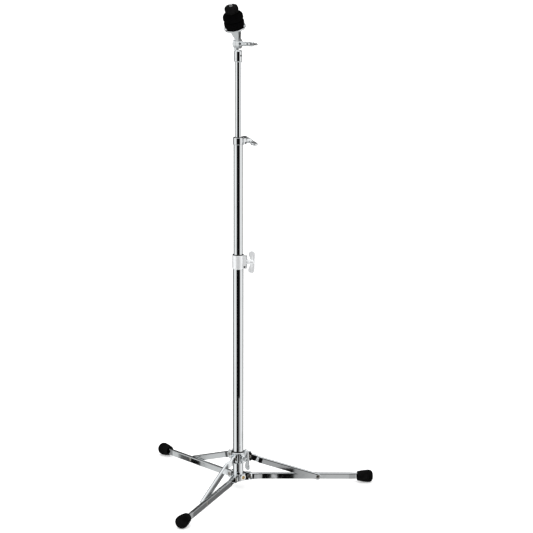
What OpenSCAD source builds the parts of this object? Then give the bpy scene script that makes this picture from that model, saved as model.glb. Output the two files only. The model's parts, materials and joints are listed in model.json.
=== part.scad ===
// Straight cymbal stand with a flat folding tripod base, two telescoping
// stages and a tilting cymbal rod. Millimetres, +Z up, the floor at z = 0,
// the tube axis at x = y = 0, leg 1 along +X.

/* [Tubes] */
// Outside diameter of the base tube
base_od = 22.2; // [20:0.1:26]
// Outside diameter of the middle tube
middle_od = 19.1; // [16:0.1:19.2]
// Outside diameter of the upper tube
upper_od = 12.7; // [10:0.1:14]
// Wall thickness of the tubes
tube_wall = 1.2; // [0.8:0.1:1.6]
// Height of the lower end of the base tube
base_z0 = 17; // [12:1:24]
// Height of the top of the base clamp
clamp_top = 504; // [400:0.5:620]
// Height of the top of the upper clamp
ferrule_top = 749.5; // [660:0.5:900]
// Height of the top of the tilter socket
socket_top = 926; // [820:0.5:1100]

/* [Tripod] */
// Distance of the leg and brace pivots from the tube axis
pivot_r = 23.5; // [22:0.5:28]
// Height of the leg pivots
leg_pivot_z = 23.5; // [20:0.5:30]
// Height of the brace pivots with the tripod open
brace_pivot_z = 67.5; // [60:0.5:80]
// Downward slope of an open leg in degrees
leg_slope = 2.3; // [1:0.1:4]
// Distance along a leg from its pivot to the lap rivet
lap_x = 147.5; // [120:0.5:170]
// Width of a leg channel
leg_w = 7.6; // [6:0.2:10]
// Width of a brace channel
brace_w = 6.4; // [5:0.2:9]
// Height of the leg and brace channels
channel_h = 13; // [10:0.5:16]
// Sideways joggle of a leg channel
leg_jog = 2; // [1:0.1:4]
// Largest radius of a rubber foot
foot_r = 13.4; // [10:0.1:16]
// Length of a rubber foot
foot_len = 34; // [26:1:44]

/* [Clamps] */
// Tip to tip span of a wing bolt
wing_span = 46.5; // [36:0.5:56]
// Thickness of a wing
wing_t = 4.6; // [3:0.2:7]
// Radius of the wing bolt threads
bolt_r = 3.9; // [3:0.1:4]

/* [Tilter] */
// Height of the tilter hinge
tilt_z = 941; // [836:0.5:1120]
// Lean of the cymbal rod in degrees
lean = 23.5; // [0:0.5:60]
// Direction of the lean, degrees round from leg 1
lean_az = -122.5; // [-180:0.5:180]
// Radius of the cymbal rod
rod_r = 4; // [3:0.1:5]
// Distance of the rod tip from the hinge
rod_tip = 88.5; // [80:0.5:100]

/* [Felts] */
// Radius of the cymbal felts
felt_r = 20.8; // [15:0.1:24]
// Thickness of the lower felt
felt_low_t = 18.5; // [8:0.5:22]
// Thickness of the upper felt
felt_up_t = 14.4; // [6:0.1:18]
// Radius of the cup washer
cup_r = 22.4; // [18:0.1:26]
// Radius of the cymbal nut
nut_r = 14.2; // [10:0.1:16]
// Height of the cymbal nut
nut_h = 16.4; // [10:0.1:22]

/* [Hidden] */
$fn = 64;
base_r = base_od / 2;
middle_r = middle_od / 2;
upper_r = upper_od / 2;
base_in = base_r - tube_wall;
middle_in = middle_r - tube_wall;
upper_in = upper_r - tube_wall;
run_gap = 0.06;
side_gap = 0.3;
leg_half = leg_w / 2;
brace_half = brace_w / 2;
leg_inner_y = leg_jog - leg_half;
brace_jog = leg_inner_y - side_gap - brace_half;
lap_px = pivot_r + lap_x * cos(leg_slope);
lap_pz = leg_pivot_z - lap_x * sin(leg_slope);
brace_run = lap_px - pivot_r;
brace_drop = brace_pivot_z - lap_pz;
brace_len = sqrt(brace_run * brace_run + brace_drop * brace_drop);
brace_slope = atan2(brace_drop, brace_run);
foot_x = 234;
leg_end = 256;
rivet_r = 2.5;
head_r = 4;
clamp_z = clamp_top - 14;
ferrule_z = ferrule_top - 9.3;
base_tube_top = clamp_top - 21.5;
middle_z0 = 262;
middle_tube_top = ferrule_top - 10;
upper_z0 = 482;
socket_z0 = socket_top - 22;
hinge_az = lean_az + 90;
cup_s = 34;
felt_s = cup_s + 1.2;
up_felt_s = felt_s + felt_low_t + 0.3;
nut_s = up_felt_s + felt_up_t + 0.2;
clamp_az = -20;
ferrule_az = 30;
collar_az = -60;
seat_r = 18.3;
collar_seat = 19;

// ---------- shared shapes ----------

// Round tube between two heights
module ring(ro, ri, z0, z1) {
  translate([0, 0, z0])
    difference() {
      cylinder(h = z1 - z0, r = ro);
      translate([0, 0, -1])
        cylinder(h = z1 - z0 + 2, r = ri);
    }
}

// Cylinder lying along +X between two distances from the tube axis
module rod_x(r, x0, x1) {
  translate([x0, 0, 0])
    rotate([0, 90, 0])
      cylinder(h = x1 - x0, r = r);
}

// Cylinder lying along Y between two offsets
module rod_y(r, y0, y1) {
  translate([0, y1, 0])
    rotate([90, 0, 0])
      cylinder(h = y1 - y0, r = r);
}

// Low domed rivet head standing on the plane y = 0, towards +Y
module rivet_head(r, h) {
  rotate([-90, 0, 0])
    rotate_extrude()
      polygon([[0, 0], [r, 0], [r, h * 0.35], [r * 0.86, h * 0.75],
        [r * 0.55, h * 0.96], [0, h]]);
}

// Place the children in the frame of leg i, pivot at the origin
module at_leg(i) {
  rotate([0, 0, 120 * i])
    translate([pivot_r, 0, leg_pivot_z])
      rotate([0, leg_slope, 0])
        children();
}

// Place the children in the frame of brace i, pivot at the origin
module at_brace(i) {
  rotate([0, 0, 120 * i])
    translate([pivot_r, 0, brace_pivot_z])
      rotate([0, brace_slope, 0])
        children();
}

// Place the children in the tilted frame of the cymbal rod:
// hinge at the origin, rod along +Z, hinge axis along +X
module at_tilt() {
  translate([0, 0, tilt_z])
    rotate([0, 0, hinge_az])
      rotate([lean, 0, 0])
        children();
}

// Plan outline of a channel that joggles sideways
module jog_plan(half, x0, a, b, jog, c, d, jog2, x1) {
  polygon([[x0, -half], [a, -half], [b, jog - half], [c, jog - half],
    [d, jog2 - half], [x1, jog2 - half], [x1, jog2 + half], [d, jog2 + half],
    [c, jog + half], [b, jog + half], [a, half], [x0, half]]);
}

// Side outline of a channel with rounded ends, drawn in x and z
module side_plate(len, r0, r1, x1) {
  rotate([90, 0, 0])
    linear_extrude(height = 40, center = true)
      union() {
        translate([0, -channel_h / 2])
          square([len, channel_h]);
        circle(r = r0);
        translate([x1, 0])
          circle(r = r1);
      }
}

// Wing bolt along +X: hub from the seat, wings standing along Z
module wing_bolt(tip, seat, hub_end, wing_in) {
  wing_out = wing_in + 14;
  half = wing_span / 2;
  rod_x(bolt_r, tip, seat + 1);
  translate([seat + 0.2, 0, 0])
    rotate([0, 90, 0])
      rotate_extrude()
        polygon([[0, 0], [5.4, 0], [5.6, 0.8], [5.1, 1.6], [4.6, 2.6],
          [4.9, wing_in - seat + 3], [4.6, hub_end - seat - 1.4],
          [3.6, hub_end - seat - 0.4], [0, hub_end - seat - 0.2]]);
  for (s = [-1, 1])
    rotate([90, 0, 0])
      linear_extrude(height = wing_t, center = true)
        wing_leaf(s, wing_in, wing_out, half);
}

// One leaf of a wing bolt in the plane of the bolt axis
module wing_leaf(s, x0, x1, half) {
  round_r = 5.4;
  union() {
    polygon([[x0 + 4.4, 0], [x0 + 3.4, s * 5.5], [x0 + 0.6, s * (half - 9)],
      [x0, s * (half - round_r)], [x1, s * (half - round_r)],
      [x1 + 0.3, s * 7], [x1 - 0.6, 0]]);
    translate([x0 + round_r, s * (half - round_r)])
      circle(r = round_r);
    translate([x1 - round_r, s * (half - round_r)])
      circle(r = round_r);
    translate([x0 + round_r, s * (half - 2 * round_r)])
      square([x1 - x0 - 2 * round_r, 2 * round_r]);
    translate([x0 + round_r, s > 0 ? half - 2 : -half])
      square([x1 - x0 - 2 * round_r, 2]);
  }
}

// ---------- base ----------

module base_tube() {
  color("silver")
    ring(base_r, base_in, base_z0, base_tube_top);
}

module ear_pair(y0, y1, x0, x1, z0, z1) {
  r = 3;
  for (s = [-1, 1])
    translate([0, s > 0 ? y1 : -y0, 0])
      rotate([90, 0, 0])
        linear_extrude(height = y1 - y0)
          union() {
            translate([x0, z0])
              square([x1 - x0 - r, z1 - z0]);
            translate([x0, z0 + r])
              square([x1 - x0, z1 - z0 - 2 * r]);
            translate([x1 - r, z0 + r])
              circle(r = r);
            translate([x1 - r, z1 - r])
              circle(r = r);
          }
}

module lower_bracket() {
  color("silver")
    difference() {
      union() {
        ring(15.4, base_r, leg_pivot_z - 7.5, leg_pivot_z + 8);
        for (i = [0 : 2])
          rotate([0, 0, 120 * i])
            ear_pair(leg_half + side_gap, leg_half + side_gap + 2, 13, 29.2,
              leg_pivot_z - 7.5, leg_pivot_z + 7.5);
        rotate([0, 0, collar_az])
          translate([0, 0, leg_pivot_z + 1])
            difference() {
              rod_x(6.3, 12, 18.6);
              rod_x(4.1, 16.4, 19);
            }
      }
      translate([0, 0, leg_pivot_z - 9])
        cylinder(h = 20, r = base_r);
      rotate([0, 0, collar_az])
        translate([0, 0, leg_pivot_z + 1])
          rod_x(rivet_r, base_r - 0.5, 17);
      for (i = [0 : 2])
        rotate([0, 0, 120 * i])
          translate([pivot_r, 0, leg_pivot_z])
            rod_y(rivet_r, -10, 10);
    }
}

module bracket_screw() {
  color("darkgoldenrod")
    rotate([0, 0, collar_az])
      translate([0, 0, leg_pivot_z + 1])
        difference() {
          union() {
            rod_x(rivet_r, base_r, 16.6);
            rod_x(4.1, 16.4, 18.4);
          }
          translate([17.4, -3, -0.5])
            cube([2, 6, 1]);
          translate([17.4, -0.5, -3])
            cube([2, 1, 6]);
        }
}

module leg_pivot_rivets() {
  out = leg_half + side_gap + 2;
  color("dimgray")
    for (i = [0 : 2])
      rotate([0, 0, 120 * i])
        translate([pivot_r, 0, leg_pivot_z]) {
          rod_y(rivet_r, -out, out);
          translate([0, out, 0])
            rivet_head(head_r, 1.3);
          mirror([0, 1, 0])
            translate([0, out, 0])
              rivet_head(head_r, 1.3);
        }
}

// ---------- height clamp on the base tube ----------

module height_clamp() {
  z0 = clamp_top - 29;
  color("silver")
    difference() {
      union() {
        rotate_extrude()
          polygon([[base_r, z0], [base_r + 0.9, z0], [base_r + 1.6, z0 + 1.6],
            [base_r + 1.6, clamp_top - 0.6], [base_r + 1, clamp_top],
            [base_r, clamp_top]]);
        rotate([0, 0, clamp_az])
          difference() {
            translate([base_r + 0.4, -6.5, z0 + 1])
              cube([seat_r - base_r - 0.4, 13, 27]);
            translate([seat_r - 1.6, -7, clamp_top - 1])
              rotate([0, 45, 0])
                cube([4, 14, 4]);
          }
      }
      translate([0, 0, z0 - 1])
        cylinder(h = 33, r = base_r);
      rotate([0, 0, clamp_az])
        translate([0, 0, clamp_z])
          rod_x(bolt_r + run_gap, base_r - 1, seat_r + 1);
      rotate([0, 0, clamp_az])
        translate([15.2, 0, z0 + 5.2])
          rod_y(2, -8, 8);
    }
}

module clamp_bushing() {
  color([0.08, 0.08, 0.09])
    difference() {
      union() {
        ring(base_r, middle_r + run_gap, base_tube_top, clamp_top);
        ring(base_r + 0.7, middle_r + run_gap, clamp_top, clamp_top + 1.2);
      }
      rotate([0, 0, clamp_az + 180])
        translate([0, -0.9, base_tube_top + 1])
          cube([20, 1.8, 40]);
    }
}

module clamp_pin() {
  color([0.15, 0.15, 0.16])
    rotate([0, 0, clamp_az])
      translate([15.2, 0, clamp_top - 23.8])
        rod_y(2, -6.9, 6.9);
}

module clamp_wing_bolt() {
  color("gainsboro")
    rotate([0, 0, clamp_az])
      translate([0, 0, clamp_z])
        rotate([-8, 0, 0])
          wing_bolt(base_r + 0.2, seat_r, seat_r + 15.5, seat_r + 3.4);
}

// ---------- sliding collar ----------

module collar() {
  z0 = brace_pivot_z - 13;
  z1 = brace_pivot_z + 10.5;
  color("silver")
    difference() {
      union() {
        rotate_extrude()
          polygon([[12.9, z0], [14.3, z0], [15.3, z0 + 1], [15.3, z1 - 1],
            [14.3, z1], [12.9, z1]]);
        for (i = [0 : 2])
          rotate([0, 0, 120 * i])
            ear_pair(brace_half + side_gap, brace_half + side_gap + 2, 13, 28.6,
              brace_pivot_z - 9.4, brace_pivot_z + 9.4);
        rotate([0, 0, collar_az])
          translate([13.5, -6.5, brace_pivot_z - 9])
            cube([collar_seat - 13.5, 13, 18]);
      }
      translate([0, 0, z0 - 1])
        cylinder(h = 40, r = 12.9);
      rotate([0, 0, collar_az])
        translate([0, 0, brace_pivot_z])
          rod_x(bolt_r + run_gap, 12, collar_seat + 1);
      for (i = [0 : 2])
        rotate([0, 0, 120 * i])
          translate([pivot_r, 0, brace_pivot_z])
            rod_y(rivet_r, -10, 10);
    }
}

module collar_bushing() {
  color([0.08, 0.08, 0.09])
    union() {
      ring(12.9, base_r + run_gap, brace_pivot_z - 13, brace_pivot_z + 10.5);
      ring(13.8, base_r + run_gap, brace_pivot_z + 10.5, brace_pivot_z + 11.3);
    }
}

module brace_pivot_rivets() {
  out = brace_half + side_gap + 2;
  color("dimgray")
    for (i = [0 : 2])
      rotate([0, 0, 120 * i])
        translate([pivot_r, 0, brace_pivot_z]) {
          rod_y(rivet_r, -out, out);
          translate([0, out, 0])
            rivet_head(3.4, 1.1);
          mirror([0, 1, 0])
            translate([0, out, 0])
              rivet_head(3.4, 1.1);
        }
}

module collar_wing_bolt() {
  color("gainsboro")
    rotate([0, 0, collar_az])
      translate([0, 0, brace_pivot_z])
        rotate([6, 0, 0])
          wing_bolt(13.2, collar_seat, collar_seat + 16.5, collar_seat + 4.6);
}

// ---------- legs and braces ----------

module leg_bar(i) {
  wall = 1.4;
  color("silver")
    at_leg(i)
      difference() {
        intersection() {
          linear_extrude(height = 20, center = true)
            jog_plan(leg_half, -9, 12, 26, leg_jog, 212, 228, 0, leg_end);
          side_plate(leg_end, 7, 6.5, leg_end - 20);
        }
        translate([0, 0, channel_h / 2 - wall - 20])
          linear_extrude(height = 20)
            jog_plan(leg_half - wall, -12, 12, 26, leg_jog, 212, 228, 0, leg_end + 2);
        rod_y(rivet_r + run_gap, -12, 12);
        translate([lap_x, 0, 0])
          rod_y(rivet_r, -12, 12);
      }
}

module leg_lap_rivet(i) {
  color("dimgray")
    at_leg(i)
      translate([lap_x, 0, 0]) {
        rod_y(rivet_r, leg_jog - leg_half, leg_jog + leg_half);
        translate([0, leg_jog + leg_half, 0])
          rivet_head(head_r, 1.3);
      }
}

module brace_bar(i) {
  wall = 1.3;
  end_x = brace_len + 6.5;
  color("silver")
    at_brace(i)
      difference() {
        intersection() {
          linear_extrude(height = 20, center = true)
            jog_plan(brace_half, -9, 12, 27, brace_jog, 100, 110, brace_jog, end_x + 1);
          side_plate(brace_len, 6.5, 6.5, brace_len);
        }
        translate([0, 0, channel_h / 2 - wall - 20])
          linear_extrude(height = 20)
            jog_plan(brace_half - wall, -12, 12, 27, brace_jog, 100, 110, brace_jog,
              end_x + 2);
        rod_y(rivet_r + run_gap, -12, 12);
        translate([brace_len, 0, 0])
          rod_y(rivet_r, -16, 12);
      }
}

module brace_lap_rivet(i) {
  out = brace_jog - brace_half;
  color("dimgray")
    at_brace(i)
      translate([brace_len, 0, 0]) {
        rod_y(rivet_r, out, brace_jog + brace_half);
        mirror([0, 1, 0])
          translate([0, -out, 0])
            rivet_head(head_r, 1.3);
      }
}

module foot(i) {
  f = foot_r;
  color([0.05, 0.05, 0.05])
    difference() {
      at_leg(i)
        difference() {
          translate([foot_x, 0, 0])
            rotate([0, 90, 0])
              rotate_extrude()
                polygon([[0, 0], [f - 4.2, 0], [f - 3, 1.2], [f - 0.9, 14.4],
                  [f - 1.8, 15.3], [f - 0.7, 16.2], [f - 0.2, 19.1], [f - 1.2, 20],
                  [f, 20.9], [f, 23.2], [f - 1.1, 24.1], [f, 25],
                  [f - 0.1, 27], [f - 0.9, 29.4], [f - 2.6, 31.6],
                  [f - 5.4, 33.2], [f - 9, 33.8], [0, foot_len]]);
          translate([foot_x - 1, -leg_half, -channel_h / 2])
            cube([leg_end - foot_x + 1, leg_w, channel_h]);
        }
      translate([-400, -400, -30])
        cube([800, 800, 30]);
    }
}

// ---------- middle stage ----------

module middle_guide() {
  color([0.1, 0.1, 0.11])
    ring(base_in - run_gap, middle_r + 0.04, middle_z0 + 2, middle_z0 + 26);
}

module middle_tube() {
  color("silver")
    ring(middle_r, middle_in, middle_z0, middle_tube_top);
}

module upper_clamp() {
  z0 = ferrule_top - 14.5;
  color("silver")
    difference() {
      union() {
        rotate_extrude()
          polygon([[middle_r, z0], [middle_r + 0.5, z0], [middle_r + 1.1, z0 + 0.8],
            [middle_r + 1.1, ferrule_top - 0.6], [middle_r + 0.5, ferrule_top],
            [middle_r, ferrule_top]]);
        rotate([0, 0, ferrule_az])
          translate([middle_r + 0.3, -5.5, z0 - 0.8])
            cube([seat_r - middle_r - 1.8, 11, 13]);
      }
      translate([0, 0, z0 - 1])
        cylinder(h = 20, r = middle_r);
      rotate([0, 0, ferrule_az])
        translate([0, 0, ferrule_z])
          rod_x(bolt_r + run_gap, middle_r - 1, seat_r + 1);
    }
}

module upper_bushing() {
  color([0.08, 0.08, 0.09])
    difference() {
      ring(middle_r, upper_r + run_gap, middle_tube_top, ferrule_top + 0.8);
      rotate([0, 0, ferrule_az + 180])
        translate([0, -0.9, middle_tube_top + 1])
          cube([20, 1.8, 40]);
    }
}

module upper_wing_bolt() {
  color("gainsboro")
    rotate([0, 0, ferrule_az])
      translate([0, 0, ferrule_z])
        rotate([-74, 0, 0])
          wing_bolt(middle_r + 0.2, seat_r - 1.5, seat_r + 17, seat_r + 4);
}

// ---------- upper stage ----------

module upper_guide() {
  color([0.1, 0.1, 0.11])
    ring(middle_in - run_gap, upper_r + 0.04, upper_z0 + 2, upper_z0 + 22);
}

module upper_tube() {
  color("silver")
    ring(upper_r, upper_in, upper_z0, socket_top - 2);
}

// ---------- tilter ----------

module tilter_base() {
  color("silver")
    difference() {
      union() {
        rotate_extrude()
          polygon([[0, socket_z0], [7.2, socket_z0], [8.3, socket_z0 + 1.6],
            [8.3, socket_top - 0.8], [7.6, socket_top], [6.6, socket_top + 2.2],
            [0, socket_top + 2.2]]);
        translate([0, 0, tilt_z])
          rotate([0, 0, hinge_az]) {
            rod_x(10, -7.6, -1.4);
            translate([-7.2, -5.4, socket_top - tilt_z + 1])
              cube([5.6, 10.8, tilt_z - socket_top - 2]);
          }
      }
      translate([0, 0, socket_z0 - 1])
        cylinder(h = 21, r = upper_r);
      translate([0, 0, tilt_z])
        rotate([0, 0, hinge_az])
          rod_x(bolt_r + run_gap, -9, 0);
      rotate([0, 0, -55])
        translate([0, 0, socket_top - 9])
          rod_x(1.9, upper_r - 0.5, 10);
    }
}

module tilter_set_screw() {
  color([0.12, 0.12, 0.13])
    rotate([0, 0, -55])
      translate([0, 0, socket_top - 9])
        difference() {
          rod_x(1.9, upper_r, 7.9);
          translate([7.2, -1.5, -0.3])
            cube([1, 3, 0.6]);
        }
}

module tilter_hinge_nut() {
  color("gainsboro")
    translate([0, 0, tilt_z])
      rotate([0, 0, hinge_az])
        difference() {
          translate([-11.2, 0, 0])
            rotate([0, 90, 0])
              rotate_extrude()
                polygon([[0, 0], [4.2, 0], [5.2, 0.9], [5.4, 2],
                  [5.4, 3.6], [0, 3.6]]);
          rod_x(bolt_r + 0.04, -10, 0);
        }
}

module tilter_arm() {
  color("silver")
    at_tilt()
      difference() {
        union() {
          rod_x(10, -1.1, 5.4);
          rotate([90, 0, 0])
            linear_extrude(height = 12.4, center = true)
              polygon([[-1.1, 0], [5.4, 0], [5.4, 10.5], [6.6, 16], [8, 22],
                [8.8, 30], [8.8, 33.2], [8.2, 34], [-8.2, 34], [-8.8, 33.2],
                [-8.8, 30], [-7.4, 24], [-5.6, 19], [-3.2, 14.6], [-1.1, 12.2]]);
        }
        rod_x(bolt_r + run_gap, -2, 6);
        translate([0, 0, 16])
          cylinder(h = 20, r = rod_r);
      }
}

module tilter_wing_bolt() {
  color("gainsboro")
    translate([0, 0, tilt_z])
      rotate([0, 0, hinge_az])
        rotate([-95, 0, 0])
          wing_bolt(-9.8, 5.5, 35, 21);
}

// ---------- cymbal seat ----------

module cymbal_rod() {
  color("silver")
    at_tilt()
      union() {
        translate([0, 0, 16])
          cylinder(h = rod_tip - 19.1, r = rod_r);
        translate([0, 0, rod_tip - 4])
          cylinder(h = 3.6, r = rod_r - 0.7);
        translate([0, 0, rod_tip - 0.4])
          cylinder(h = 0.4, r1 = rod_r - 0.7, r2 = rod_r - 1.1);
      }
}

module cup_washer() {
  c = cup_r;
  color("silver")
    at_tilt()
      translate([0, 0, cup_s])
        rotate_extrude()
          polygon([[rod_r + 0.1, 0], [c - 2.6, 0], [c - 0.8, 0.7], [c, 2.2],
            [c, 4.2], [c - 1, 4.2], [c - 1, 2.4], [c - 1.6, 1.5],
            [c - 2.8, 1.2], [rod_r + 0.1, 1.2]]);
}

module rod_sleeve() {
  color([0.09, 0.09, 0.1])
    at_tilt()
      ring(6, rod_r + 0.05, felt_s, nut_s - 0.6);
}

module lower_felt() {
  f = felt_r;
  t = felt_low_t;
  color([0.06, 0.06, 0.06])
    at_tilt()
      translate([0, 0, felt_s])
        rotate_extrude()
          polygon([[6.05, 0], [f - 6, 0], [f - 3, 1.2], [f - 1, 3.6], [f, 7],
            [f, t - 3], [f - 0.8, t - 1.1], [f - 2.4, t], [6.05, t]]);
}

module upper_felt() {
  f = felt_r + 0.1;
  t = felt_up_t;
  color([0.06, 0.06, 0.06])
    at_tilt()
      translate([0, 0, up_felt_s])
        rotate_extrude()
          polygon([[6.35, 0], [f - 2.2, 0], [f - 0.6, 1.2], [f, 3],
            [f - 0.2, t - 5], [f - 1.4, t - 2.4], [f - 3.2, t - 0.8],
            [f - 5.4, t], [6.35, t]]);
}

module cymbal_nut() {
  n = nut_r;
  color([0.04, 0.04, 0.045])
    at_tilt()
      translate([0, 0, nut_s])
        difference() {
          rotate_extrude()
            polygon([[rod_r + 0.06, 0], [n - 2.4, 0], [n - 1.4, 1.2],
              [n - 0.6, 3], [n, 6], [n, nut_h - 5], [n - 0.9, nut_h - 2.4],
              [n - 3, nut_h - 0.7], [n - 5.5, nut_h], [rod_r + 0.06, nut_h]]);
          for (k = [0 : 9])
            rotate([0, 0, 36 * k])
              translate([n + 1.5, 0, 3])
                cylinder(h = nut_h, r = 2.6);
        }
}

base_tube();
lower_bracket();
bracket_screw();
leg_pivot_rivets();
height_clamp();
clamp_bushing();
clamp_pin();
clamp_wing_bolt();
collar();
collar_bushing();
brace_pivot_rivets();
collar_wing_bolt();
leg_bar(0);  // leg_bar_1
leg_bar(1);  // leg_bar_2
leg_bar(2);  // leg_bar_3
leg_lap_rivet(0);  // leg_lap_rivet_1
leg_lap_rivet(1);  // leg_lap_rivet_2
leg_lap_rivet(2);  // leg_lap_rivet_3
foot(0);  // foot_1
foot(1);  // foot_2
foot(2);  // foot_3
brace_bar(0);  // brace_bar_1
brace_bar(1);  // brace_bar_2
brace_bar(2);  // brace_bar_3
brace_lap_rivet(0);  // brace_lap_rivet_1
brace_lap_rivet(1);  // brace_lap_rivet_2
brace_lap_rivet(2);  // brace_lap_rivet_3
middle_guide();
middle_tube();
upper_clamp();
upper_bushing();
upper_wing_bolt();
upper_guide();
upper_tube();
tilter_base();
tilter_set_screw();
tilter_hinge_nut();
tilter_arm();
tilter_wing_bolt();
cymbal_rod();
cup_washer();
rod_sleeve();
lower_felt();
upper_felt();
cymbal_nut();
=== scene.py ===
"""Looks of a straight chromed cymbal stand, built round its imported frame."""

import json
import math

import bmesh
import bpy
from mathutils import Matrix, Vector, noise


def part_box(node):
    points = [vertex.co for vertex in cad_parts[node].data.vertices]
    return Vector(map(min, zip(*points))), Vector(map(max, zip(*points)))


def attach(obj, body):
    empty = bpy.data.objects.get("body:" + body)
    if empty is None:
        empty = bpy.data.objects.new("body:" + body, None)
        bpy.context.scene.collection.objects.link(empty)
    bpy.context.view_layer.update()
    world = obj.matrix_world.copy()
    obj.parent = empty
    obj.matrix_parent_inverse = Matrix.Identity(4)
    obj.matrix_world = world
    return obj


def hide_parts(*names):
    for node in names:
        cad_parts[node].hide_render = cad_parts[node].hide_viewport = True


LEG_SLOPE = math.radians(2.3)
LAP_ALONG_LEG = 0.1475
LEG_HALF = 0.0038
BRACE_HALF = 0.0032
CHANNEL_HALF_H = 0.0065
LEG_JOG = 0.002
BRACE_JOG = -0.0053

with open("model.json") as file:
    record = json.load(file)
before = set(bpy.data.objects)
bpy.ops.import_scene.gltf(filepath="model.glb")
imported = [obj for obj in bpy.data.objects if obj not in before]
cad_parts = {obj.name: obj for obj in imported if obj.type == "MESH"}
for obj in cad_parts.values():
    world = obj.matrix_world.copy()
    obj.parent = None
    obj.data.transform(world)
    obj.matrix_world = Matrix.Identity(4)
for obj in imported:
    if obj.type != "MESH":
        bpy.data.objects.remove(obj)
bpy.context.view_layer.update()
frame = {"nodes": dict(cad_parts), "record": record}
NODES = frame["nodes"]
JOINTS = {j["name"]: j for j in frame["record"]["behaviour"]["joints"]}


# ---------- shader groups ----------


def new_group(name, inputs, outputs):
    """An empty shader group with named sockets, and its input and output nodes."""
    group = bpy.data.node_groups.new(name, "ShaderNodeTree")
    for label, kind, value in inputs:
        socket = group.interface.new_socket(label, in_out="INPUT", socket_type=kind)
        if value is not None:
            socket.default_value = value
    for label, kind in outputs:
        group.interface.new_socket(label, in_out="OUTPUT", socket_type=kind)
    return group, group.nodes.new("NodeGroupInput"), group.nodes.new("NodeGroupOutput")


def add_noise(tree, coords, scale, detail=2.0, roughness=0.5):
    node = tree.nodes.new("ShaderNodeTexNoise")
    node.inputs["Detail"].default_value = detail
    node.inputs["Roughness"].default_value = roughness
    tree.links.new(coords, node.inputs["Vector"])
    if isinstance(scale, (int, float)):
        node.inputs["Scale"].default_value = scale
    else:
        tree.links.new(scale, node.inputs["Scale"])
    return node


def add_math(tree, kind, first, second=None, third=None, clamp=False):
    node = tree.nodes.new("ShaderNodeMath")
    node.operation = kind
    node.use_clamp = clamp
    for i, value in enumerate((first, second, third)):
        if value is None:
            continue
        if isinstance(value, (int, float)):
            node.inputs[i].default_value = value
        else:
            tree.links.new(value, node.inputs[i])
    return node.outputs[0]


def add_range(tree, value, low, high, to_low, to_high):
    node = tree.nodes.new("ShaderNodeMapRange")
    node.interpolation_type = "SMOOTHSTEP"
    tree.links.new(value, node.inputs["Value"])
    for label, number in (("From Min", low), ("From Max", high), ("To Min", to_low), ("To Max", to_high)):
        if isinstance(number, (int, float)):
            node.inputs[label].default_value = number
        else:
            tree.links.new(number, node.inputs[label])
    return node.outputs["Result"]


def add_colour_mix(tree, factor, first, second):
    node = tree.nodes.new("ShaderNodeMix")
    node.data_type = "RGBA"
    if isinstance(factor, (int, float)):
        node.inputs["Factor"].default_value = factor
    else:
        tree.links.new(factor, node.inputs["Factor"])
    for label, value in (("A", first), ("B", second)):
        socket = [s for s in node.inputs if s.name == label and s.type == "RGBA"][0]
        if isinstance(value, tuple):
            socket.default_value = value
        else:
            tree.links.new(value, socket)
    return [s for s in node.outputs if s.type == "RGBA"][0]


def plating_marks():
    """Faint handling film and hairlines on polished plate."""
    group, gin, gout = new_group(
        "plating_marks",
        [
            ("Film Scale", "NodeSocketFloat", 60.0),
            ("Base Roughness", "NodeSocketFloat", 0.05),
            ("Film Roughness", "NodeSocketFloat", 0.04),
            ("Bright", "NodeSocketColor", (0.9, 0.92, 0.93, 1)),
            ("Dull", "NodeSocketColor", (0.8, 0.82, 0.83, 1)),
        ],
        [("Color", "NodeSocketColor"), ("Roughness", "NodeSocketFloat"), ("Ripple", "NodeSocketFloat")],
    )
    coords = group.nodes.new("ShaderNodeTexCoord").outputs["Object"]
    film = add_noise(group, coords, gin.outputs["Film Scale"], 4.0, 0.6).outputs["Fac"]
    stretch = group.nodes.new("ShaderNodeMapping")
    stretch.inputs["Scale"].default_value = (900.0, 900.0, 60.0)
    group.links.new(coords, stretch.inputs["Vector"])
    hairlines = add_noise(group, stretch.outputs["Vector"], 1.0, 3.0, 0.7).outputs["Fac"]
    mask = add_range(group, film, 0.52, 0.8, 0.0, 1.0)
    lines = add_range(group, hairlines, 0.62, 0.75, 0.0, 0.35)
    total = add_math(group, "ADD", mask, lines, clamp=True)
    group.links.new(add_colour_mix(group, mask, gin.outputs["Bright"], gin.outputs["Dull"]), gout.inputs["Color"])
    group.links.new(
        add_math(group, "MULTIPLY_ADD", total, gin.outputs["Film Roughness"], gin.outputs["Base Roughness"]),
        gout.inputs["Roughness"],
    )
    ripple = add_noise(group, coords, 90.0, 1.0, 0.4).outputs["Fac"]
    group.links.new(ripple, gout.inputs["Ripple"])
    return group


def surface_grain():
    """Fine mould or casting grain with a slow change of tone."""
    group, gin, gout = new_group(
        "surface_grain",
        [
            ("Grain Scale", "NodeSocketFloat", 1500.0),
            ("Tone Scale", "NodeSocketFloat", 90.0),
            ("Dark", "NodeSocketColor", (0.01, 0.01, 0.01, 1)),
            ("Light", "NodeSocketColor", (0.03, 0.03, 0.03, 1)),
            ("Low Roughness", "NodeSocketFloat", 0.5),
            ("High Roughness", "NodeSocketFloat", 0.7),
        ],
        [("Color", "NodeSocketColor"), ("Roughness", "NodeSocketFloat"), ("Grain", "NodeSocketFloat")],
    )
    coords = group.nodes.new("ShaderNodeTexCoord").outputs["Object"]
    tone = add_noise(group, coords, gin.outputs["Tone Scale"], 3.0, 0.55).outputs["Fac"]
    grain = add_noise(group, coords, gin.outputs["Grain Scale"], 2.0, 0.6).outputs["Fac"]
    mask = add_range(group, tone, 0.3, 0.72, 0.0, 1.0)
    group.links.new(add_colour_mix(group, mask, gin.outputs["Dark"], gin.outputs["Light"]), gout.inputs["Color"])
    group.links.new(
        add_range(group, grain, 0.3, 0.7, gin.outputs["Low Roughness"], gin.outputs["High Roughness"]),
        gout.inputs["Roughness"],
    )
    group.links.new(grain, gout.inputs["Grain"])
    return group


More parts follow.
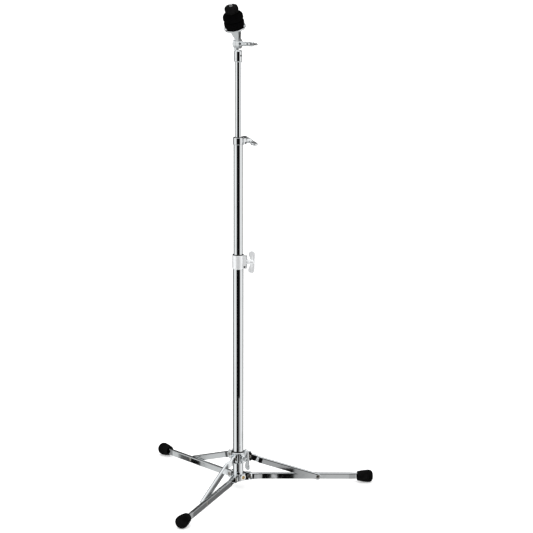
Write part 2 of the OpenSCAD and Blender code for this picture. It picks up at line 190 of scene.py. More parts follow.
def settled_dust():
    """Pale dust on what faces up, broken by noise."""
    group, gin, gout = new_group(
        "settled_dust",
        [
            ("Color", "NodeSocketColor", (0.02, 0.02, 0.02, 1)),
            ("Dust Color", "NodeSocketColor", (0.22, 0.21, 0.2, 1)),
            ("Amount", "NodeSocketFloat", 0.15),
        ],
        [("Color", "NodeSocketColor"), ("Mask", "NodeSocketFloat")],
    )
    geometry = group.nodes.new("ShaderNodeNewGeometry")
    split = group.nodes.new("ShaderNodeSeparateXYZ")
    group.links.new(geometry.outputs["Normal"], split.inputs["Vector"])
    facing = add_range(group, split.outputs["Z"], 0.1, 1.0, 0.0, 1.0)
    coords = group.nodes.new("ShaderNodeTexCoord").outputs["Object"]
    specks = add_noise(group, coords, 700.0, 3.0, 0.65).outputs["Fac"]
    broken = add_range(group, specks, 0.42, 0.68, 0.0, 1.0)
    mask = add_math(group, "MULTIPLY", facing, broken)
    mask = add_math(group, "MULTIPLY", mask, gin.outputs["Amount"], clamp=True)
    group.links.new(add_colour_mix(group, mask, gin.outputs["Color"], gin.outputs["Dust Color"]), gout.inputs["Color"])
    group.links.new(mask, gout.inputs["Mask"])
    return group


def felt_fibres():
    """Matted short fibres of pressed felt."""
    group, gin, gout = new_group(
        "felt_fibres",
        [
            ("Fibre Scale", "NodeSocketFloat", 900.0),
            ("Dark", "NodeSocketColor", (0.0005, 0.0005, 0.0005, 1)),
            ("Light", "NodeSocketColor", (0.003, 0.003, 0.0032, 1)),
        ],
        [("Color", "NodeSocketColor"), ("Height", "NodeSocketFloat")],
    )
    coords = group.nodes.new("ShaderNodeTexCoord").outputs["Object"]
    warp = add_noise(group, coords, 350.0, 2.0, 0.5)
    shift = group.nodes.new("ShaderNodeVectorMath")
    shift.operation = "MULTIPLY_ADD"
    group.links.new(warp.outputs["Color"], shift.inputs[0])
    shift.inputs[1].default_value = (0.004, 0.004, 0.004)
    group.links.new(coords, shift.inputs[2])
    fibres = add_noise(group, shift.outputs["Vector"], gin.outputs["Fibre Scale"], 6.0, 0.75).outputs["Fac"]
    tufts = add_noise(group, coords, 160.0, 2.0, 0.5).outputs["Fac"]
    mask = add_range(group, fibres, 0.35, 0.7, 0.0, 1.0)
    group.links.new(add_colour_mix(group, mask, gin.outputs["Dark"], gin.outputs["Light"]), gout.inputs["Color"])
    group.links.new(add_math(group, "MULTIPLY_ADD", tufts, 0.6, fibres), gout.inputs["Height"])
    return group


GROUPS = {
    "plating": plating_marks(),
    "grain": surface_grain(),
    "dust": settled_dust(),
    "felt": felt_fibres(),
}


# ---------- materials ----------


def new_material(name, metallic, specular=0.5):
    material = bpy.data.materials.new(name)
    material.use_nodes = True
    shader = material.node_tree.nodes["Principled BSDF"]
    shader.inputs["Metallic"].default_value = metallic
    shader.inputs["Specular IOR Level"].default_value = specular
    return material, material.node_tree, shader


def place_group(tree, key, **values):
    node = tree.nodes.new("ShaderNodeGroup")
    node.node_tree = GROUPS[key]
    for label, value in values.items():
        node.inputs[label.replace("_", " ")].default_value = value
    return node


def add_bump(tree, shader, height, strength, distance):
    bump = tree.nodes.new("ShaderNodeBump")
    bump.inputs["Strength"].default_value = strength
    bump.inputs["Distance"].default_value = distance
    tree.links.new(height, bump.inputs["Height"])
    tree.links.new(bump.outputs["Normal"], shader.inputs["Normal"])


def plated(name, bright, dull, roughness, film, ripple, scale=60.0, metallic=1.0):
    """Chrome or zinc plate with a handling film."""
    material, tree, shader = new_material(name, metallic)
    marks = place_group(
        tree, "plating", Film_Scale=scale, Base_Roughness=roughness, Film_Roughness=film, Bright=bright, Dull=dull
    )
    tree.links.new(marks.outputs["Color"], shader.inputs["Base Color"])
    tree.links.new(marks.outputs["Roughness"], shader.inputs["Roughness"])
    add_bump(tree, shader, marks.outputs["Ripple"], ripple, 0.0002)
    return material


def moulded(name, dark, light, low, high, grain, dust, scale=1500.0, specular=0.4):
    """Moulded rubber or nylon with grain and a little dust."""
    material, tree, shader = new_material(name, 0.0, specular)
    body = place_group(
        tree, "grain", Grain_Scale=scale, Dark=dark, Light=light, Low_Roughness=low, High_Roughness=high
    )
    cover = place_group(tree, "dust", Amount=dust)
    tree.links.new(body.outputs["Color"], cover.inputs["Color"])
    tree.links.new(cover.outputs["Color"], shader.inputs["Base Color"])
    tree.links.new(body.outputs["Roughness"], shader.inputs["Roughness"])
    add_bump(tree, shader, body.outputs["Grain"], grain, 0.0002)
    return material


def pressed_felt(name):
    material, tree, shader = new_material(name, 0.0, 0.0)
    shader.inputs["Roughness"].default_value = 0.95
    shader.inputs["Sheen Weight"].default_value = 0.004
    shader.inputs["Sheen Roughness"].default_value = 0.6
    fibres = place_group(tree, "felt")
    tree.links.new(fibres.outputs["Color"], shader.inputs["Base Color"])
    add_bump(tree, shader, fibres.outputs["Height"], 0.7, 0.0006)
    return material


MATERIALS = {
    "tube": plated("tube_chrome", (0.93, 0.95, 0.96, 1), (0.86, 0.88, 0.89, 1), 0.02, 0.05, 0.0, 30.0),
    "channel": plated("channel_chrome", (0.9, 0.92, 0.93, 1), (0.82, 0.85, 0.86, 1), 0.015, 0.05, 0.0, 45.0),
    "fitting": plated("fitting_chrome", (0.9, 0.92, 0.93, 1), (0.8, 0.82, 0.83, 1), 0.03, 0.07, 0.01, 80.0),
    "band": plated("band_satin_chrome", (0.97, 0.98, 0.99, 1), (0.92, 0.94, 0.95, 1), 0.4, 0.06, 0.05, 200.0, 0.62),
    "cast": plated("cast_chrome", (0.9, 0.92, 0.93, 1), (0.78, 0.8, 0.81, 1), 0.06, 0.1, 0.06, 140.0),
    "rivet": plated("rivet_steel", (0.4, 0.38, 0.35, 1), (0.26, 0.24, 0.21, 1), 0.28, 0.15, 0.2, 300.0),
    "rod": plated("rod_zinc", (0.62, 0.62, 0.62, 1), (0.48, 0.48, 0.47, 1), 0.24, 0.12, 0.1, 260.0),
    "brass": plated("screw_passivated", (0.62, 0.45, 0.22, 1), (0.3, 0.22, 0.12, 1), 0.25, 0.2, 0.2, 320.0),
    "black_steel": moulded("black_steel", (0.006, 0.006, 0.007, 1), (0.016, 0.016, 0.017, 1), 0.35, 0.5, 0.1, 0.0),
    "rubber": moulded("foot_rubber", (0.002, 0.002, 0.002, 1), (0.005, 0.005, 0.005, 1), 0.62, 0.8, 0.25, 0.004, 1300.0, 0.03),
    "nylon": moulded("black_nylon", (0.003, 0.003, 0.003, 1), (0.008, 0.008, 0.008, 1), 0.38, 0.55, 0.1, 0.02, 1500.0, 0.2),
    "nut": moulded("nut_plastic", (0.002, 0.002, 0.002, 1), (0.005, 0.005, 0.005, 1), 0.5, 0.66, 0.2, 0.004, 900.0, 0.03),
    "felt": pressed_felt("black_felt"),
}


# ---------- mesh helpers ----------


def new_object(name, mesh, material):
    mesh.materials.clear()
    mesh.materials.append(MATERIALS[material])
    piece = bpy.data.objects.new(name, mesh)
    bpy.context.scene.collection.objects.link(piece)
    return piece


def set_smooth(mesh, degrees):
    mesh.shade_smooth()
    mesh.set_sharp_from_angle(angle=math.radians(degrees))


def bake_modifiers(piece):
    """Applies a piece's modifiers to its mesh."""
    graph = bpy.context.evaluated_depsgraph_get()
    mesh = bpy.data.meshes.new_from_object(piece.evaluated_get(graph))
    old = piece.data
    piece.modifiers.clear()
    piece.data = mesh
    bpy.data.meshes.remove(old)


def round_corners(points, radius, steps=4):
    """A profile with its inner corners turned into short arcs."""
    result = [Vector(points[0])]
    for before, corner, after in zip(points, points[1:], points[2:]):
        b, c, a = Vector(before), Vector(corner), Vector(after)
        reach = min(radius, (b - c).length * 0.45, (a - c).length * 0.45)
        start = c + (b - c).normalized() * reach
        end = c + (a - c).normalized() * reach
        for k in range(steps + 1):
            t = k / steps
            result.append(start.lerp(c, t).lerp(c.lerp(end, t), t))
    result.append(Vector(points[-1]))
    return result


def turned(name, profile, material, place, segments=72, shape=None, radius=0.0004, closed=False, sharp=40):
    """A lathe piece from (radius, height) points in metres; shape moves each point."""
    outline = round_corners(profile, radius) if radius else [Vector(p) for p in profile]
    bm = bmesh.new()
    rings = []
    for r, z in outline:
        if r < 1e-7:
            rings.append([bm.verts.new((0, 0, z))])
            continue
        ring = []
        for k in range(segments):
            angle = 2 * math.pi * k / segments
            point = Vector((r * math.cos(angle), r * math.sin(angle), z))
            ring.append(bm.verts.new(shape(point, angle) if shape else point))
        rings.append(ring)
    pairs = list(zip(rings, rings[1:]))
    if closed:
        pairs.append((rings[-1], rings[0]))
    for low, high in pairs:
        for k in range(segments):
            n = (k + 1) % segments
            corners = [low[k % len(low)], low[n % len(low)], high[n % len(high)], high[k % len(high)]]
            corners = list(dict.fromkeys(corners))
            if len(corners) > 2:
                bm.faces.new(corners)
    bmesh.ops.remove_doubles(bm, verts=bm.verts, dist=1e-7)
    bmesh.ops.recalc_face_normals(bm, faces=bm.faces)
    mesh = bpy.data.meshes.new(name)
    bm.to_mesh(mesh)
    bm.free()
    mesh.transform(place)
    set_smooth(mesh, sharp)
    return new_object(name, mesh, material)


def tube_wall(name, outer, inner, low, high, material, place, lip=0.0004, segments=96):
    """A tube with rounded ends."""
    profile = [
        (inner, (low + high) / 2),
        (inner, low),
        (outer, low),
        (outer, high),
        (inner, high),
        (inner, (low + high) / 2),
    ]
    return turned(name, profile, material, place, segments, radius=lip)


def softened(name, node, material, width, segments=3, angle=32):
    """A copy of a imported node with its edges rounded."""
    mesh = NODES[node].data.copy()
    bm = bmesh.new()
    bm.from_mesh(mesh)
    bmesh.ops.remove_doubles(bm, verts=bm.verts, dist=2e-6)
    bmesh.ops.dissolve_limit(
        bm, angle_limit=math.radians(0.6), verts=bm.verts, edges=bm.edges, use_dissolve_boundaries=False
    )
    bmesh.ops.recalc_face_normals(bm, faces=bm.faces)
    bm.to_mesh(mesh)
    bm.free()
    piece = new_object(name, mesh, material)
    bevel = piece.modifiers.new("edges", "BEVEL")
    bevel.width = width
    bevel.segments = segments
    bevel.limit_method = "ANGLE"
    bevel.angle_limit = math.radians(angle)
    bevel.use_clamp_overlap = True
    bevel.harden_normals = False
    mesh.shade_smooth()
    weighted = piece.modifiers.new("normals", "WEIGHTED_NORMAL")
    weighted.keep_sharp = False
    bake_modifiers(piece)
    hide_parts(node)
    return piece


def finish_piece(piece, body, slot, *nodes):
    """Sets what a new piece rides on and hides the imported nodes it stands for."""
    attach(piece, body)
    if nodes:
        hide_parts(*nodes)
    return piece


# ---------- places ----------


def axes_matrix(origin, x, y, z):
    return Matrix(
        (
            (x.x, y.x, z.x, origin.x),
            (x.y, y.y, z.y, origin.y),
            (x.z, y.z, z.z, origin.z),
            (0, 0, 0, 1),
        )
    )


def leg_place(i):
    joint = JOINTS[f"leg_{i}_fold"]
    side = -Vector(joint["axis"])
    up = Vector((0, 0, 1))
    out = side.cross(up)
    along = out * math.cos(LEG_SLOPE) - up * math.sin(LEG_SLOPE)
    return axes_matrix(Vector(joint["pos_m"]), along, side, along.cross(side))


def brace_place(i):
    joint = JOINTS[f"brace_{i}_fold"]
    side = Vector(joint["axis"])
    start = Vector(joint["pos_m"])
    lap = leg_place(i) @ Vector((LAP_ALONG_LEG, 0, 0))
    along = lap - start
    along -= side * along.dot(side)
    length = along.length
    along.normalize()
    return axes_matrix(start, along, side, along.cross(side)), length


def rod_place():
    joint = JOINTS["tilt"]
    hinge = Vector(joint["axis"])
    rod = Vector(JOINTS["top_felt_slide"]["axis"])
    return axes_matrix(Vector(joint["pos_m"]), hinge, rod.cross(hinge), rod)


def bolt_place(joint_name, turn):
    """Frame with +X out along a wing bolt and its wings turned about that axis."""
    joint = JOINTS[joint_name]
    out = Vector(joint["axis"])
    up = Vector((0, 0, 1))
    side = up.cross(out)
    place = axes_matrix(Vector(joint["pos_m"]), out, side, up)
    return place @ Matrix.Rotation(math.radians(turn), 4, "X")


UPRIGHT = Matrix.Identity(4)


# ---------- folded channels ----------


def smooth_step(value, low, high):
    t = min(max((value - low) / (high - low), 0.0), 1.0)
    return t * t * (3 - 2 * t)


def channel(name, full, wall, length, offset, place, end_round, pinch=0.0, material="channel"):
    """A folded channel, open below, with rounded shoulders and domed ends."""
    top_r = 0.0026
    hub = 0.007 if end_round is None else CHANNEL_HALF_H
    stations = [-hub + hub * 2 * (1 - math.cos(math.pi * k / 24)) / 2 for k in range(0, 13)]
    x = stations[-1] + 0.001
    last = length if end_round is None else length + end_round
    tail = length if end_round is None else length
    while x < tail - 0.0005:
        stations.append(x)
        x += 0.002
    if end_round is None:
        stations.append(last)
    else:
        stations += [length + end_round * math.sin(math.pi / 2 * k / 12) for k in range(0, 13)]

    def height_at(x):
        if x < 0:
            return max(math.sqrt(max(hub * hub - x * x, 0.0)), 0.0006)
        if end_round is not None and x > length:
            return max(math.sqrt(max(end_round**2 - (x - length) ** 2, 0.0)), 0.0006)
        if x < hub and hub > CHANNEL_HALF_H:
            return max(math.sqrt(max(hub * hub - x * x, 0.0)), CHANNEL_HALF_H)
        return CHANNEL_HALF_H

    def width_at(x):
        return full - pinch * smooth_step(x, length - 0.042, length - 0.024)

    def section(x):
        h = height_at(x)
        y = offset(x)
        half = width_at(x)
        r = min(top_r, h * 0.8)
        ri = max(r - wall * 0.7, 0.0002)
        roof = min(wall, h * 0.9)
        cheek = max(h - r - 0.0004, -h + 0.0001)
        points = [(-half, -h), (-half, min(-h + 0.0004, cheek)), (-half, cheek)]
        points += [
            (-half + r * (1 - math.cos(math.pi / 2 * k / 5)), h - r + r * math.sin(math.pi / 2 * k / 5))
            for k in range(6)
        ]
        points += [
            (half - r * (1 - math.sin(math.pi / 2 * k / 5)), h - r + r * math.cos(math.pi / 2 * k / 5))
            for k in range(6)
        ]
        points += [(half, cheek), (half, min(-h + 0.0004, cheek)), (half, -h)]
        points.append((half - wall, -h))
        top = max(h - roof, -h)
        points += [(half - wall, max(top - ri, -h)), (half - wall - ri, top)]
        points += [(-half + wall + ri, top), (-half + wall, max(top - ri, -h))]
        points.append((-half + wall, -h))
        return [Vector((x, y + p[0], p[1])) for p in points]

    bm = bmesh.new()
    rings = [[bm.verts.new(p) for p in section(x)] for x in stations]
    count = len(rings[0])
    for low, high in zip(rings, rings[1:]):
        for k in range(count):
            n = (k + 1) % count
            bm.faces.new((low[k], low[n], high[n], high[k]))
    bm.faces.new(rings[0])
    bm.faces.new(list(reversed(rings[-1])))
    bmesh.ops.remove_doubles(bm, verts=bm.verts, dist=1e-7)
    bmesh.ops.recalc_face_normals(bm, faces=bm.faces)
    mesh = bpy.data.meshes.new(name)
    bm.to_mesh(mesh)
    bm.free()
    mesh.transform(place)
    set_smooth(mesh, 35)
    piece = new_object(name, mesh, material)
    return piece


def leg_offset(x):
    return LEG_JOG * smooth_step(x, 0.012, 0.026)


def brace_offset(x):
    return BRACE_JOG * smooth_step(x, 0.012, 0.027)


def rivet(name, place, low, high, head_low, head_high, radius, head, height):
    """A rivet along local Y with a domed head on either end."""
    spin = place @ Matrix.Rotation(-math.pi / 2, 4, "X")
    dome = [(0.0, 1.0), (0.38, 0.97), (0.68, 0.84), (0.9, 0.56), (1.0, 0.2), (1.0, 0.0)]
    profile = []
    if head_low:
        profile += [(head * r, low - height * h) for r, h in dome]
    else:
        profile.append((0, low))
    profile += [(radius, low), (radius, high)]
    if head_high:
        profile += [(head * r, high + height * h) for r, h in reversed(dome)]
    else:
        profile.append((0, high))
    piece = turned(name, profile, "rivet", spin, 40, radius=0.0002, sharp=50)
    return piece


def build_legs():
    for i in (1, 2, 3):
        place = leg_place(i)
        leg = channel(f"leg_{i}_channel", LEG_HALF, 0.0014, 0.256, leg_offset, place, None, 0.0009)
        finish_piece(leg, f"leg_{i}", "channel_chrome", f"leg_bar_{i}")
        pin = rivet(
            f"leg_{i}_lap_rivet",
            place @ Matrix.Translation((LAP_ALONG_LEG, 0, 0)),
            LEG_JOG - LEG_HALF,
            LEG_JOG + LEG_HALF,
            False,
            True,
            0.0025,
            0.004,
            0.0013,
        )
        finish_piece(pin, f"leg_{i}", "rivet_steel", f"leg_lap_rivet_{i}")
        place, length = brace_place(i)
        brace = channel(f"brace_{i}_channel", BRACE_HALF, 0.0013, length, brace_offset, place, 0.0065)
        finish_piece(brace, f"brace_{i}", "channel_chrome", f"brace_bar_{i}")
        pin = rivet(
            f"brace_{i}_lap_rivet",
            place @ Matrix.Translation((length, 0, 0)),
            BRACE_JOG - BRACE_HALF,
            BRACE_JOG + BRACE_HALF,
            True,
            False,
            0.0025,
            0.004,
            0.0013,
        )
        finish_piece(pin, f"brace_{i}", "rivet_steel", f"brace_lap_rivet_{i}")
        build_foot(i)


def build_foot(i):
    """A moulded rubber foot with three grooves and a mould seam."""
    f = 0.0134
    pocket = 0.0078
    outline = [
        (pocket, 0.012),
        (pocket, 0.0004),
        (f - 0.0052, 0.0),
        (f - 0.0034, 0.0007),
        (f - 0.0030, 0.0016),
        (f - 0.0016, 0.0096),
        (f - 0.0008, 0.0138),
        (f - 0.0011, 0.0147),
        (f - 0.0018, 0.0152),
        (f - 0.0011, 0.0157),
        (f - 0.0006, 0.0165),
        (f - 0.0003, 0.0188),
        (f - 0.0006, 0.0196),
        (f - 0.0014, 0.0200),
        (f - 0.0006, 0.0204),
        (f, 0.0213),
        (f, 0.0231),
        (f - 0.0004, 0.0237),
        (f - 0.0013, 0.0241),
        (f - 0.0004, 0.0245),
        (f, 0.0252),
        (f - 0.0001, 0.0268),
        (f - 0.0006, 0.0288),
        (f - 0.0017, 0.0308),
        (f - 0.0034, 0.0324),
        (f - 0.0058, 0.0334),
        (f - 0.0092, 0.0339),
        (0, 0.0340),
    ]
    place = leg_place(i) @ Matrix.Translation((0.234, 0, 0)) @ Matrix.Rotation(math.pi / 2, 4, "Y")

    def seam(point, angle):
        width = 0.035
        for centre in (math.pi / 2, -math.pi / 2):
            gap = abs(math.atan2(math.sin(angle - centre), math.cos(angle - centre)))
            if gap < width and point.xy.length > 0.006:
                lift = 0.00022 * (1 - gap / width)
                point = Vector((point.x, point.y, point.z)) + Vector((point.x, point.y, 0)).normalized() * lift
        return point

    foot = turned(f"foot_{i}_rubber", outline, "rubber", place, 180, seam, radius=0.0003, sharp=60)
    for vertex in foot.data.vertices:
        vertex.co.z = max(vertex.co.z, 0.0)
    finish_piece(foot, f"leg_{i}", "foot_rubber", f"foot_{i}")


# ---------- wing bolts ----------


def wing_outline(inner, outer, half):
    """Bow tie outline in the plane of the bolt axis, as (x, z) points."""
    lobe = []
    for s in (1, -1):
        points = [
            (inner + 0.0046, s * 0.0035),
            (inner + 0.0030, s * 0.0075),
            (inner + 0.0008, s * 0.0115),
            (inner - 0.0002, s * 0.0155),
            (inner + 0.0002, s * 0.0190),
            (inner + 0.0020, s * (half - 0.0014)),
            (inner + 0.0052, s * (half - 0.0001)),
            (outer - 0.0050, s * (half + 0.0)),
            (outer - 0.0018, s * (half - 0.0015)),
            (outer - 0.0001, s * 0.0188),
            (outer + 0.0001, s * 0.0145),
            (outer - 0.0002, s * 0.0100),
            (outer + 0.0001, s * 0.0050),
        ]
        lobe += points if s > 0 else list(reversed(points))
    return lobe


def wing_plate(bm, inner, outer, half, thick):
    """Adds the wings as a pillowed plate lying in the plane y = 0."""
    outline = [Vector((x, 0, z)) for x, z in wing_outline(inner, outer, half)]
    centre = sum(outline, Vector()) / len(outline)
    layers = []
    for y, inset in ((-0.5, 0.0012), (-0.36, 0.0003), (0.0, 0.0), (0.36, 0.0003), (0.5, 0.0012)):
        ring = []
        for k, p in enumerate(outline):
            a = outline[k - 1]
            b = outline[(k + 1) % len(outline)]
            normal = (b - a).normalized().cross(Vector((0, 1, 0)))
            if normal.dot(p - Vector((centre.x, 0, p.z * 0.8))) < 0:
                normal = -normal
            far = smooth_step(abs(p.z), 0.003, 0.014)
            t = thick * (0.74 + 0.26 * far)
            ring.append(bm.verts.new(p - normal * inset + Vector((0, y * t, 0))))
        layers.append(ring)
    for low, high in zip(layers, layers[1:]):
        for k in range(len(low)):
            n = (k + 1) % len(low)
            bm.faces.new((low[k], low[n], high[n], high[k]))
    bm.faces.new(layers[0])
    bm.faces.new(list(reversed(layers[-1])))


def wing_bolt(name, joint_name, turn, tip, seat, hub_end, inner, body, node, material="cast"):
    """A cast wing bolt: threaded shank, round hub and two wings grown together."""
    place = bolt_place(joint_name, turn)
    half = 0.02325
    bm = bmesh.new()
    wing_plate(bm, inner, inner + 0.014, half, 0.0046)
    steps = 48
    hub = [
        (0.0, seat + 0.0002),
        (0.0052, seat + 0.0002),
        (0.0056, seat + 0.0010),
        (0.0052, seat + 0.0019),
        (0.0046, seat + 0.0028),
        (0.0046, inner + 0.002),
        (0.0050, inner + 0.004),
        (0.0048, hub_end - 0.0024),
        (0.0038, hub_end - 0.0008),
        (0.0020, hub_end - 0.0002),
        (0.0, hub_end - 0.0002),
    ]
    rings = []
    for r, x in hub:
        if r < 1e-7:
            rings.append([bm.verts.new((x, 0, 0))])
        else:
            rings.append(
                [
                    bm.verts.new(
                        (x, r * math.cos(2 * math.pi * k / steps), r * math.sin(2 * math.pi * k / steps))
                    )
                    for k in range(steps)
                ]
            )
    for low, high in zip(rings, rings[1:]):
        for k in range(steps):
            n = (k + 1) % steps
            corners = list(
                dict.fromkeys([low[k % len(low)], low[n % len(low)], high[n % len(high)], high[k % len(high)]])
            )
            if len(corners) > 2:
                bm.faces.new(corners)
    bmesh.ops.recalc_face_normals(bm, faces=bm.faces)
    mesh = bpy.data.meshes.new(name)
    bm.to_mesh(mesh)
    bm.free()
    piece = new_object(name, mesh, material)
    remesh = piece.modifiers.new("grown", "REMESH")
    remesh.mode = "VOXEL"
    remesh.voxel_size = 0.00036
    smooth = piece.modifiers.new("soft", "SMOOTH")
    smooth.factor = 0.5
    smooth.iterations = 6
    bake_modifiers(piece)
    piece.data.transform(place)
    piece.data.materials.clear()
    piece.data.materials.append(MATERIALS[material])
    set_smooth(piece.data, 70)
    finish_piece(piece, body, "cast_chrome", node)
    shank = threaded(f"{name}_shank", 0.0039, 0.00125, tip, seat + 0.001, "rod", place @ Matrix.Rotation(math.pi / 2, 4, "Y"))
    finish_piece(shank, body, "rod_steel")
    return piece


def threaded(name, radius, pitch, low, high, material, place, steps=40):
    """A rod along +Z with a real helical thread and chamfered ends."""
    depth = pitch * 0.5
    rows = int((high - low) / (pitch / 8))
    bm = bmesh.new()
    rings = []
    for j in range(rows + 1):
        z = low + (high - low) * j / rows
        end = min(z - low, high - z)
        ring = []
        for k in range(steps):
            angle = 2 * math.pi * k / steps
            phase = (z / pitch - k / steps) % 1.0
            crest = 1 - abs(phase - 0.5) * 2
            groove = min(max((crest - 0.12) / 0.76, 0.0), 1.0)
            r = radius - depth * groove
            r = min(r, radius - max(0.0, 0.0009 - end))
            ring.append(bm.verts.new((r * math.cos(angle), r * math.sin(angle), z)))
        rings.append(ring)
    for a, b in zip(rings, rings[1:]):
        for k in range(steps):
            n = (k + 1) % steps
            bm.faces.new((a[k], a[n], b[n], b[k]))
    bm.faces.new(list(reversed(rings[0])))
    bm.faces.new(rings[-1])
    bmesh.ops.recalc_face_normals(bm, faces=bm.faces)
    mesh = bpy.data.meshes.new(name)
    bm.to_mesh(mesh)
    bm.free()
    mesh.transform(place)
    set_smooth(mesh, 60)
    return new_object(name, mesh, material)


# ---------- tubes and fittings ----------


def build_tubes():
    for node, outer, body in (
        ("base_tube", 0.0111, "stand_base"),
        ("middle_tube", 0.00955, "middle_stage"),
        ("upper_tube", 0.00635, "upper_stage"),
    ):
        low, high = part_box(node)
        tube = tube_wall(f"{node}_chromed", outer, outer - 0.0012, low[2], high[2], "tube", UPRIGHT)
        finish_piece(tube, body, "tube_chrome", node)


def build_fittings():
    for node, body, material, slot, width in (
        ("lower_bracket", "stand_base", "fitting", "fitting_chrome", 0.0006),
        ("bracket_screw", "stand_base", "brass", "screw_brass", 0.0003),
        ("height_clamp", "stand_base", "band", "fitting_chrome", 0.0007),
        ("clamp_bushing", "stand_base", "nylon", "black_nylon", 0.0003),
        ("clamp_pin", "stand_base", "black_steel", "black_steel", 0.0003),
        ("leg_pivot_rivets", "stand_base", "rivet", "rivet_steel", 0.0002),
        ("collar", "collar_body", "fitting", "fitting_chrome", 0.0006),
        ("collar_bushing", "collar_body", "nylon", "black_nylon", 0.0003),
        ("brace_pivot_rivets", "collar_body", "rivet", "rivet_steel", 0.0002),
        ("middle_guide", "middle_glide", "nylon", "black_nylon", 0.0001),
        ("upper_clamp", "middle_stage", "fitting", "fitting_chrome", 0.0005),
        ("upper_bushing", "middle_stage", "nylon", "black_nylon", 0.0002),
        ("upper_guide", "upper_glide", "nylon", "black_nylon", 0.0002),
        ("tilter_base", "upper_stage", "fitting", "fitting_chrome", 0.0006),
        ("tilter_set_screw", "upper_stage", "black_steel", "black_steel", 0.0002),
        ("tilter_hinge_nut", "upper_stage", "cast", "cast_chrome", 0.0004),
        ("tilter_arm", "tilter_head", "fitting", "fitting_chrome", 0.0012),
    ):
        piece = softened(f"{node}_finished", node, material, width)
        finish_piece(piece, body, slot)


def build_wing_bolts():
    seat = 0.0183
    wing_bolt("clamp_wing", "clamp_wing_turn", -8, 0.0113, seat, 0.0338, 0.0217, "clamp_wing", "clamp_wing_bolt", "band")
    wing_bolt("collar_wing_piece", "collar_wing_turn", 6, 0.0132, 0.019, 0.0355, 0.0236, "collar_wing", "collar_wing_bolt")
    wing_bolt("upper_wing_piece", "upper_wing_turn", -74, 0.00975, 0.0168, 0.0353, 0.0223, "upper_wing", "upper_wing_bolt")
    wing_bolt("tilter_wing_piece", "tilter_wing_turn", -95, -0.0098, 0.0055, 0.035, 0.021, "tilter_wing", "tilter_wing_bolt")


# ---------- cymbal seat ----------


def fuzzed(amount, seed):
    """Moves a surface in and out a little, so a felt isn't a perfect disc."""
    shift = Vector((seed, seed * 1.7, seed * 0.6))

    def move(point, angle):
        n = noise.noise(point * 260 + shift) + 0.6 * noise.noise(point * 900 + shift)
        flat = Vector((point.x, point.y, 0))
        edge = smooth_step(flat.length, 0.012, 0.02)
        out = flat.normalized() if flat.length > 0 else Vector((0, 0, 0))
        return point + out * (n * amount * edge) + Vector((0, 0, n * amount * 0.35 * (1 - edge * 0.5)))

    return move


def dense_profile(points, step):
    """Adds points along a profile so that no span is longer than step."""
    result = [Vector(points[0])]
    for a, b in zip(points, points[1:]):
        a, b = Vector(a), Vector(b)
        count = max(1, int(math.ceil((b - a).length / step)))
        result += [a.lerp(b, k / count) for k in range(1, count + 1)]
    return result


def build_felts():
    place = rod_place()
    start = 0.0352
    f, t = 0.0208, 0.0185
    profile = [
        (0.0061, 0.0),
        (f - 0.0072, 0.0),
        (f - 0.0044, 0.0009),
        (f - 0.0020, 0.0030),
        (f - 0.0006, 0.0062),
        (f, 0.0095),
        (f, t - 0.0050),
        (f - 0.0006, t - 0.0022),
        (f - 0.0024, t - 0.0006),
        (f - 0.0050, t),
        (0.0061, t),
    ]
    profile = dense_profile(round_corners(profile, 0.0016, 4), 0.0007)
    seat = place @ Matrix.Translation((0, 0, start))
    lower = turned("lower_felt_disc", profile, "felt", seat, 160, fuzzed(0.00022, 3.0), 0, True, 70)
    finish_piece(lower, "tilter_head", "black_felt", "lower_felt")
    start = start + t + 0.0003
    f, t = 0.0209, 0.0144
    profile = [
        (0.0064, 0.0),
        (f - 0.0030, 0.0),
        (f - 0.0012, 0.0007),
        (f - 0.0002, 0.0024),
        (f, 0.0048),
        (f - 0.0002, t - 0.0056),
        (f - 0.0012, t - 0.0028),
        (f - 0.0032, t - 0.0008),
        (f - 0.0060, t),
        (0.0064, t),
    ]
    profile = dense_profile(round_corners(profile, 0.0014, 4), 0.0007)
    seat = place @ Matrix.Translation((0, 0, start))
    upper = turned("upper_felt_disc", profile, "felt", seat, 160, fuzzed(0.00022, 8.0), 0, True, 70)
    finish_piece(upper, "top_felt", "black_felt", "upper_felt")


def build_cymbal_seat():
    place = rod_place()
    rod = threaded("cymbal_rod_threaded", 0.004, 0.00125, 0.016, 0.0854, "rod", place)
    finish_piece(rod, "tilter_head", "rod_steel", "cymbal_rod")
    tip = [(0, 0.0850), (0.0033, 0.0850), (0.0033, 0.0880), (0.0027, 0.0885), (0, 0.0885)]
    pilot = turned("cymbal_rod_tip", tip, "rod", place, 48, radius=0.0002)
    finish_piece(pilot, "tilter_head", "rod_steel")
    c = 0.0224
    washer = turned(
        "cup_washer_pressed",
        [
            (0.0041, 0.0),
            (c - 0.0030, 0.0),
            (c - 0.0011, 0.0006),
            (c - 0.0001, 0.0022),
            (c, 0.0042),
            (c - 0.0010, 0.0042),
            (c - 0.0011, 0.0026),
            (c - 0.0018, 0.0015),
            (c - 0.0032, 0.0012),
            (0.0041, 0.0012),
        ],
        "tube",
        place @ Matrix.Translation((0, 0, 0.034)),
        128,
        radius=0.0004,
        closed=True,
        sharp=60,
    )
    finish_piece(washer, "tilter_head", "fitting_chrome", "cup_washer")
    low, high = 0.0352, 0.068
    sleeve = tube_wall("rod_sleeve_moulded", 0.006, 0.00405, low, high, "nylon", place, 0.0003, 64)
    finish_piece(sleeve, "tilter_head", "black_nylon", "rod_sleeve")
    build_nut(place)


